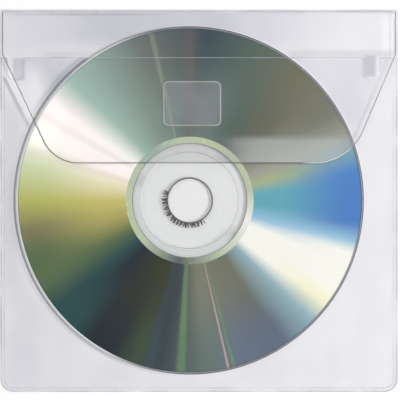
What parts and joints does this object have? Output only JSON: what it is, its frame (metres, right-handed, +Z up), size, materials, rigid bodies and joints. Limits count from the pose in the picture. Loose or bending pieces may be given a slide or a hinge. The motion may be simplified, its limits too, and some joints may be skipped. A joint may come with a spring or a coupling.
{
  "type": "cd sleeve",
  "caption": "Flat clear film pocket welded on its sides, with a tapering flap folded over its mouth and held by a clear patch, and a disc with a centre hole inside.",
  "frame": {"origin": "on the ground under the middle of the sleeve's outline", "axes": "+Z up through the sleeve as it lies flat, +Y towards the folded edge where the flap begins, +X to the right as seen from above with the fold at the far side"},
  "size_m": [0.137, 0.1318, 0.0022],
  "materials": {
    "clear_film": "clear soft polypropylene film with a faint cool haze and a wavy gloss",
    "clear_patch": "clear film pad with a slightly milky adhesive and bright cut edges",
    "disc": "clear moulded plastic over a bright metal layer, with rainbow diffraction from its fine tracks and a clear hub and rim"
  },
  "bodies": {
    "root": {"back_sheet_with_flap": "clear_film", "front_sheet": "clear_film", "closure_patch": "clear_patch", "disc": "disc"}
  },
  "joints": []
}
